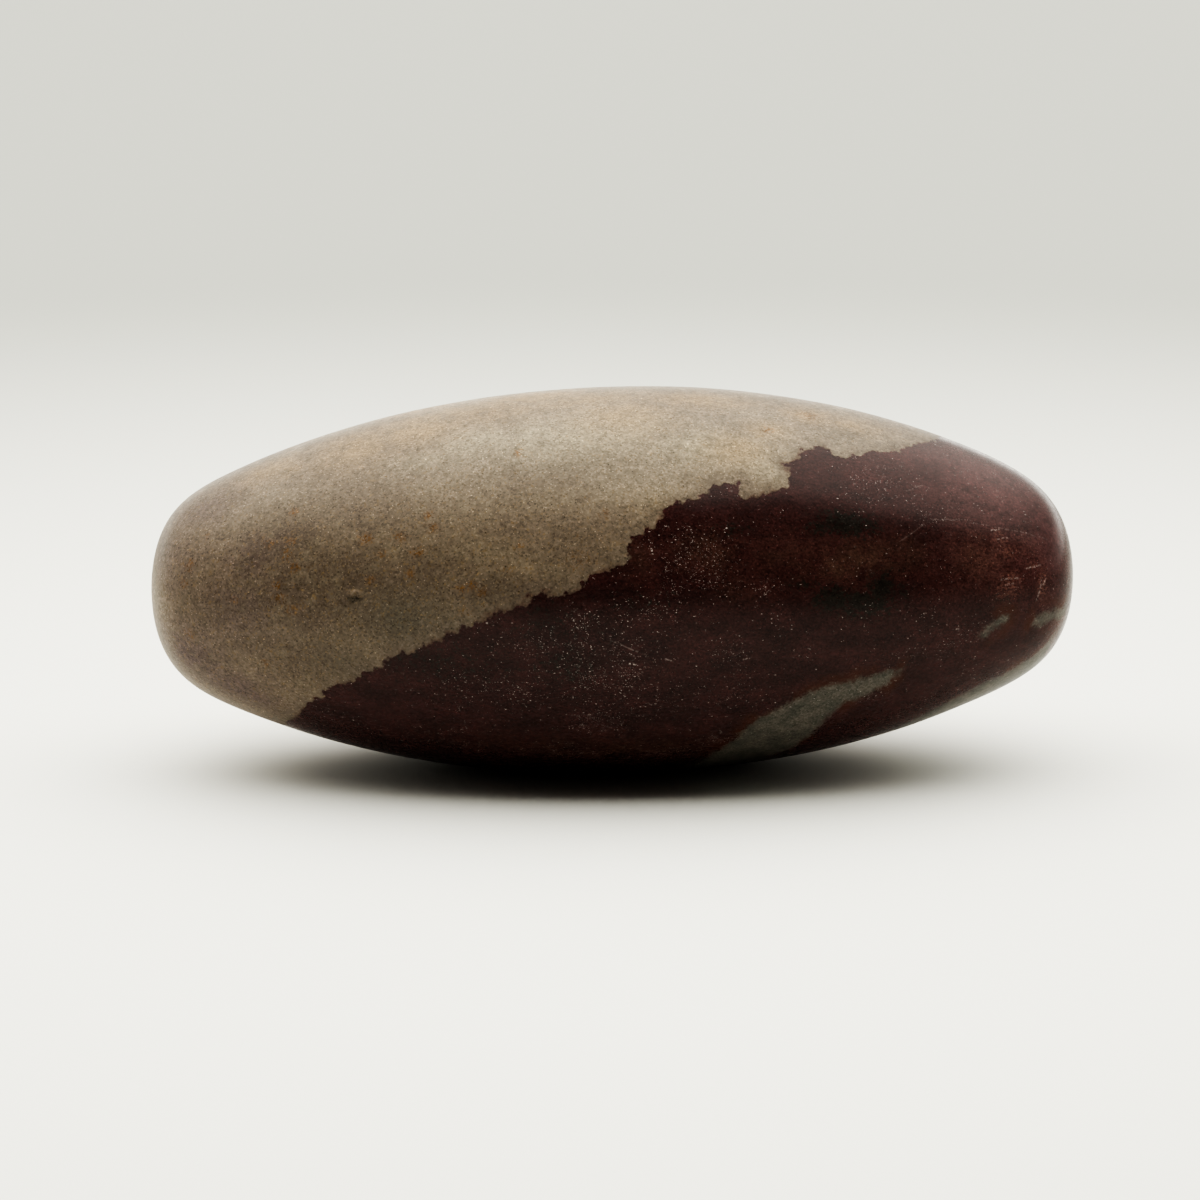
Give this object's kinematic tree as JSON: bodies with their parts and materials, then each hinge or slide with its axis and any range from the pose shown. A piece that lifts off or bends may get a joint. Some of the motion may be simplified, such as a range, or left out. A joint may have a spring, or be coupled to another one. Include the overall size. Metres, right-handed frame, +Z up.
{
  "type": "river pebble",
  "caption": "Smooth river pebble, a long rounded stone with blunt ends that lies on a small worn flat: tan sandstone on one half, dark red on the other.",
  "frame": {"origin": "on the surface that the pebble rests on, under the middle of its length and depth", "axes": "+X along the pebble to its dark red end, +Z up through its thinnest way, -Y towards the side with the long slanting edge between the two colours"},
  "size_m": [0.1, 0.0438, 0.0413],
  "materials": {
    "stone": "satin"
  },
  "bodies": {
    "root": {"pebble": "stone"}
  },
  "joints": []
}
